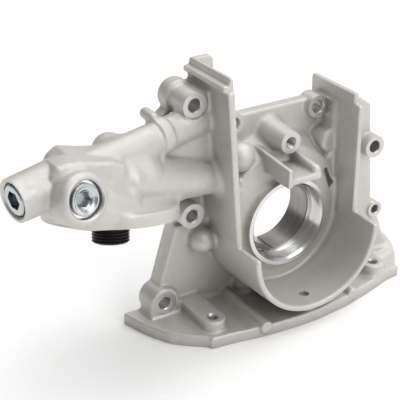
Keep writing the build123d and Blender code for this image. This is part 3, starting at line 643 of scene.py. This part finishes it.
def material(name, base, metallic, rough, vary=0.06, rvary=0.08, grain=900.0, bump=0.25, depth=0.00003, streak=None,
             edge=0.0, spots=0.0, tint=(0.95, 0.97, 1.0), coat=0.0, aniso=0.0, cavity_shade=0.0, cavity_shade_reach=0.006):
    m = bpy.data.materials.new(name)
    m.use_nodes = True
    nt = m.node_tree
    nd, ln = nt.nodes, nt.links
    nd.clear()
    out = nd.new("ShaderNodeOutputMaterial")
    bs = nd.new("ShaderNodeBsdfPrincipled")
    ln.new(bs.outputs[0], out.inputs[0])
    bs.inputs["Metallic"].default_value = metallic
    bs.inputs["Coat Weight"].default_value = coat
    bs.inputs["Anisotropic"].default_value = aniso
    co = nd.new("ShaderNodeTexCoord")
    src = co.outputs["Object"]
    if streak:
        mp = nd.new("ShaderNodeMapping")
        mp.inputs["Scale"].default_value = streak
        ln.new(src, mp.inputs["Vector"])
        fine_src = mp.outputs[0]
    else:
        fine_src = src

    def noise(scale, detail=4.0, rough_=0.55, vec=None):
        n = nd.new("ShaderNodeTexNoise")
        n.inputs["Scale"].default_value = scale
        n.inputs["Detail"].default_value = detail
        n.inputs["Roughness"].default_value = rough_
        ln.new(vec or src, n.inputs["Vector"])
        return n.outputs["Fac"]

    def ramp(fac, a, b, lo=0.3, hi=0.7):
        r = nd.new("ShaderNodeMapRange")
        r.inputs["From Min"].default_value, r.inputs["From Max"].default_value = lo, hi
        r.inputs["To Min"].default_value, r.inputs["To Max"].default_value = a, b
        ln.new(fac, r.inputs["Value"])
        return r.outputs[0]

    def mix(fac, c1, c2):
        x = nd.new("ShaderNodeMix")
        x.data_type = "RGBA"
        for sock, c in ((x.inputs[6], c1), (x.inputs[7], c2)):
            if hasattr(c, "is_linked"):
                ln.new(c, sock)
            else:
                sock.default_value = (*c, 1)
        ln.new(fac, x.inputs[0])
        return x.outputs[2]

    base = np.array(base, float)
    col = mix(ramp(noise(38.0), 0, 1), tuple(base * (1 - vary)), tuple(np.minimum(base * (1 + vary), 1)))
    col = mix(ramp(noise(210.0), 0, 0.45, 0.35, 0.75), col, tuple(base * np.array(tint) * (1 - vary * 0.6)))
    if spots:
        col = mix(ramp(noise(95.0, 5.0, 0.65), 0, spots, 0.60, 0.78), col, tuple(base * 0.72))
    # convex edges are painted lighter, partly edge wear and partly a painted highlight; concave creases are painted
    # darker, a painted shade
    if edge:
        geo = nd.new("ShaderNodeNewGeometry")
        col = mix(ramp(geo.outputs["Pointiness"], 0, edge, 0.51, 0.60), col, tuple(np.minimum(base * 1.18, 1)))
        col = mix(ramp(geo.outputs["Pointiness"], edge * 0.8, 0, 0.40, 0.49), col, tuple(base * 0.80))
    # an ambient-occlusion mask mixes a dark warm grey into recesses, holes, sockets and inside corners: painted shade
    if cavity_shade:
        ao = nd.new("ShaderNodeAmbientOcclusion")
        ao.samples = 6
        ao.inputs["Distance"].default_value = cavity_shade_reach
        col = mix(ramp(ao.outputs["AO"], cavity_shade, 0, 0.25, 0.85), col, tuple(base * np.array((0.30, 0.28, 0.26))))
    ln.new(col, bs.inputs["Base Color"])
    ln.new(ramp(noise(grain * 0.35, 3.0, 0.5, fine_src), rough - rvary, rough + rvary), bs.inputs["Roughness"])
    bp = nd.new("ShaderNodeBump")
    bp.inputs["Strength"].default_value = bump
    bp.inputs["Distance"].default_value = depth
    ln.new(noise(grain, 5.0, 0.6, fine_src), bp.inputs["Height"])
    ln.new(bp.outputs[0], bs.inputs["Normal"])
    return m


M = {
    "cast": material("cast_aluminium", (0.562, 0.546, 0.520), 0.50, 0.50, 0.07, 0.09, 1100.0, 0.75, 0.00013, edge=0.7, spots=0.4, tint=(1.0, 0.982, 0.962), cavity_shade=0.5, cavity_shade_reach=0.007),
    "machined": material("machined_aluminium", (0.58, 0.565, 0.55), 0.80, 0.40, 0.04, 0.08, 1500.0, 0.2, 0.00001, cavity_shade=0.7, cavity_shade_reach=0.003),
    "turned": material("turned_aluminium", (0.66, 0.655, 0.645), 1.0, 0.22, 0.04, 0.07, 900.0, 0.35, 0.00001, streak=(0.02, 1.0, 0.02)),
    # the drilled hole walls get a dark grey base: painted shade inside the holes
    "drilled": material("drilled_aluminium_painted_shade", (0.36, 0.35, 0.335), 0.90, 0.42, 0.06, 0.08, 2400.0, 0.30, 0.00002, cavity_shade=0.6, cavity_shade_reach=0.006),
    "ground": material("ground_steel", (0.56, 0.56, 0.565), 1.0, 0.30, 0.05, 0.08, 500.0, 0.35, 0.00001, streak=(0.12, 1.0, 3.0), spots=0.1),
    "screw": material("screw_steel", (0.42, 0.42, 0.43), 0.95, 0.42, 0.10, 0.08, 1500.0, 0.3),
    "sinter": material("sintered_steel", (0.30, 0.285, 0.27), 1.0, 0.30, 0.10, 0.09, 700.0, 0.4, 0.00002, streak=(0.05, 1.0, 0.05), spots=0.2),
    "hard": material("hard_steel", (0.62, 0.62, 0.63), 1.0, 0.20, 0.03, 0.05, 2600.0, 0.15),
    "spring": material("spring_steel", (0.40, 0.40, 0.41), 1.0, 0.33, 0.06, 0.07, 1800.0, 0.2),
    "zinc": material("blue_zinc", (0.50, 0.545, 0.57), 1.0, 0.28, 0.06, 0.06, 1500.0, 0.2, 0.00002, tint=(0.94, 0.98, 1.0), cavity_shade=0.9, cavity_shade_reach=0.005),
    "washer": material("washer_aluminium", (0.86, 0.86, 0.86), 1.0, 0.26, 0.04, 0.08, 1200.0, 0.3),
    "black": material("black_oxide", (0.012, 0.012, 0.013), 0.4, 0.36, 0.25, 0.08, 1400.0, 0.35, 0.00004),
}
NODE_MAT = {"rear_cover": "ground", "cover_screws": "screw", "cover_dowel_pins": "hard", "inner_rotor": "sinter",
            "outer_rotor": "sinter", "relief_piston": "hard", "relief_spring": "spring", "relief_spring_guide": "hard",
            "relief_end_plug": "zinc", "relief_plug_washer": "washer", "front_plug": "zinc", "front_plug_washer": "washer",
            "filter_stud": "black", "bypass_valve_cage": "ground", "bypass_valve_disc": "hard", "bypass_valve_spring": "spring",
            "bypass_spring_plate": "ground", "locating_sleeves": "ground", "gallery_ball_plugs": "hard"}
for name, key in NODE_MAT.items():
    o = nodes[name]
    if not o.material_slots:
        o.data.materials.append(M[key])
    for s in o.material_slots:
        s.link = "OBJECT"
        s.material = M[key]

# ------------------------------------------------------------------ cut the casting
for o in [body] + cutters:
    for k in SKINS:
        o.data.materials.append(M[k])
dec = body.modifiers.new("thin", "DECIMATE")
dec.ratio = min(1.0, 150000.0 / (2 * len(quads)))
for o in joined(cutters):
    m = body.modifiers.new("cut", "BOOLEAN")
    m.operation, m.object, m.solver = "DIFFERENCE", o, "MANIFOLD"
dg = bpy.context.evaluated_depsgraph_get()
me = bpy.data.meshes.new_from_object(body.evaluated_get(dg))
for o in list(bpy.data.objects):
    if o.name.startswith(("cutter", "casting")):
        bpy.data.objects.remove(o)
me.transform(Matrix.Scale(0.001, 4))
# a blend may swell a few hundredths of a millimetre past the outline, so it is held to it
vc = np.zeros(len(me.vertices) * 3, np.float32)
me.vertices.foreach_get("co", vc)
vc = np.clip(vc.reshape(-1, 3), np.array(tuple(cad_lo), np.float32), np.array(tuple(cad_hi), np.float32))
me.vertices.foreach_set("co", vc.reshape(-1))
me.polygons.foreach_set("use_smooth", np.ones(len(me.polygons), bool))
me.set_sharp_from_angle(angle=math.radians(38))
# the border between cast and machined skin is a crisp edge
mi = np.zeros(len(me.polygons), np.int32)
me.polygons.foreach_get("material_index", mi)
tot = np.zeros(len(me.polygons), np.int32)
me.polygons.foreach_get("loop_total", tot)
le = np.zeros(len(me.loops), np.int32)
me.loops.foreach_get("edge_index", le)
lm = np.repeat(mi, tot)
ne = len(me.edges)
emin, emax = np.full(ne, 99), np.full(ne, -1)
np.minimum.at(emin, le, lm)
np.maximum.at(emax, le, lm)
sharp = me.attributes.get("sharp_edge") or me.attributes.new("sharp_edge", "BOOLEAN", "EDGE")
sv = np.zeros(ne, bool)
sharp.data.foreach_get("value", sv)
sharp.data.foreach_set("value", sv | (emin != emax))
me.name = "pump_casting"
housing = bpy.data.objects.new("pump_casting", me)
bpy.context.scene.collection.objects.link(housing)
for s, k in zip(housing.material_slots, SKINS):
    s.material = M[k]
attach(housing, "pump_body")
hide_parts("pump_housing")
print("pump_casting", len(me.vertices), len(me.polygons), np.bincount(mi))

# ------------------------------------------------------------------ front plug with its dished head and chamfered socket


def carve(name, base, cuts, key, node):
    o = obj_from(name, *base)
    tools = []
    for vf in cuts:
        tools.append(obj_from("cutter_tool", *vf))
    for q in [o] + tools:
        bm = bmesh.new()
        bm.from_mesh(q.data)
        bmesh.ops.recalc_face_normals(bm, faces=bm.faces)
        bm.to_mesh(q.data)
        bm.free()
    for t in tools:
        m = o.modifiers.new("cut", "BOOLEAN")
        m.operation, m.object, m.solver = "DIFFERENCE", t, "MANIFOLD"
    new = bpy.data.meshes.new_from_object(o.evaluated_get(bpy.context.evaluated_depsgraph_get()))
    for q in [o] + tools:
        bpy.data.objects.remove(q)
    new.transform(Matrix.Scale(0.001, 4))
    new.polygons.foreach_set("use_smooth", np.ones(len(new.polygons), bool))
    new.set_sharp_from_angle(angle=math.radians(32))
    new.materials.clear()
    new.materials.append(M[key])
    new.name = name
    o = bpy.data.objects.new(name, new)
    bpy.context.scene.collection.objects.link(o)
    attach(o, "pump_body")
    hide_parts(node)
    print(name, len(new.vertices))
    return o


def hexagon(c, axis, across, t0, t1, turn=0.0):
    a, b, d = basis(axis)
    r = across / math.sqrt(3)
    pts = [np.array(c, float) + d * t0 + (a * math.cos(w) + b * math.sin(w)) * r for w in (turn + math.pi / 3 * i for i in range(6))]
    return extrude(pts, d * (t1 - t0))


carve("front_plug_body", lathe(FP_C, -FP_N, [(0.70, 6.55), (0.74, 6.95), (0.95, 7.2), (2.8, 7.2), (2.8, 5.0), (8.2, 5.0), (8.6, 4.6)], 96),
      [lathe(FP_C, -FP_N, [(-1, 6.3), (0.68, 6.3), (0.85, 6.05), (1.55, 5.1), (1.7, 4.7), (1.75, 4.35), (2.6, 3.5)], 96),
       hexagon(FP_C, -FP_N, 6.6, 2.0, 5.2, 0.35)], "zinc", "front_plug")

# ------------------------------------------------------------------ the two coil springs, as copies in spring steel carried with the pump body


def coil_spring(node):
    src = nodes[node]
    mesh = src.data.copy()
    mesh.transform(src.matrix_world)
    mesh.materials.clear()
    mesh.materials.append(M["spring"])
    mesh.polygons.foreach_set("use_smooth", np.ones(len(mesh.polygons), bool))
    mesh.set_sharp_from_angle(angle=math.radians(40))
    o = bpy.data.objects.new(node + "_coils", mesh)
    bpy.context.scene.collection.objects.link(o)
    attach(o, "pump_body")
    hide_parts(node)
    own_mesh(o)


coil_spring("relief_spring")
coil_spring("bypass_valve_spring")

# ------------------------------------------------------------------ floor and light
fl = bpy.data.meshes.new("floor")
fl.from_pydata([(-40, -40, -0.0482), (40, -40, -0.0482), (40, 40, -0.0482), (-40, 40, -0.0482)], [], [(0, 1, 2, 3)])
floor = bpy.data.objects.new("floor", fl)
bpy.context.scene.collection.objects.link(floor)
fm = bpy.data.materials.new("floor")
fm.use_nodes = True
fb = fm.node_tree.nodes["Principled BSDF"]
fb.inputs["Base Color"].default_value = (0.95, 0.95, 0.95, 1)
fb.inputs["Roughness"].default_value = 0.9
fl.materials.append(fm)

world = bpy.data.worlds.new("studio")
world.use_nodes = True
wn, wl = world.node_tree.nodes, world.node_tree.links
wn["Background"].inputs[0].default_value = (1.0, 0.99, 0.98, 1)
wc, wx = wn.new("ShaderNodeTexCoord"), wn.new("ShaderNodeSeparateXYZ")
wl.new(wc.outputs["Generated"], wx.inputs[0])
wr = wn.new("ShaderNodeMapRange")
wr.interpolation_type = "SMOOTHSTEP"
wr.inputs["From Min"].default_value, wr.inputs["From Max"].default_value = -0.85, 0.75
wr.inputs["To Min"].default_value, wr.inputs["To Max"].default_value = 0.20, 0.62
wl.new(wx.outputs[0], wr.inputs["Value"])
wl.new(wr.outputs[0], wn["Background"].inputs[1])
bpy.context.scene.world = world


def area(name, loc, target, size, power, color=(1, 1, 1)):
    d = bpy.data.lights.new(name, "AREA")
    d.shape, d.size, d.size_y, d.energy, d.color = "RECTANGLE", size[0], size[1], power, color
    o = bpy.data.objects.new(name, d)
    bpy.context.scene.collection.objects.link(o)
    o.location = loc
    o.rotation_mode = "QUATERNION"
    o.rotation_quaternion = (Vector(target) - Vector(loc)).to_track_quat("-Z", "Y")
    return o


area("key", (0.28, -1.10, 0.75), (-0.02, 0, 0), (0.8, 0.8), 6.4)
sky = bpy.data.lights.new("top", "SUN")
sky.energy, sky.angle, sky.color = 1.9, math.radians(75), (1, 1, 1)
top = bpy.data.objects.new("top", sky)
bpy.context.scene.collection.objects.link(top)
top.rotation_mode = "QUATERNION"
top.rotation_quaternion = Vector((-0.16, -0.10, -1.0)).to_track_quat("-Z", "Y")
area("side", (1.1, 0.05, 0.45), (0, 0, 0), (0.5, 0.9), 2.2)
bpy.context.scene.view_settings.view_transform = "Standard"
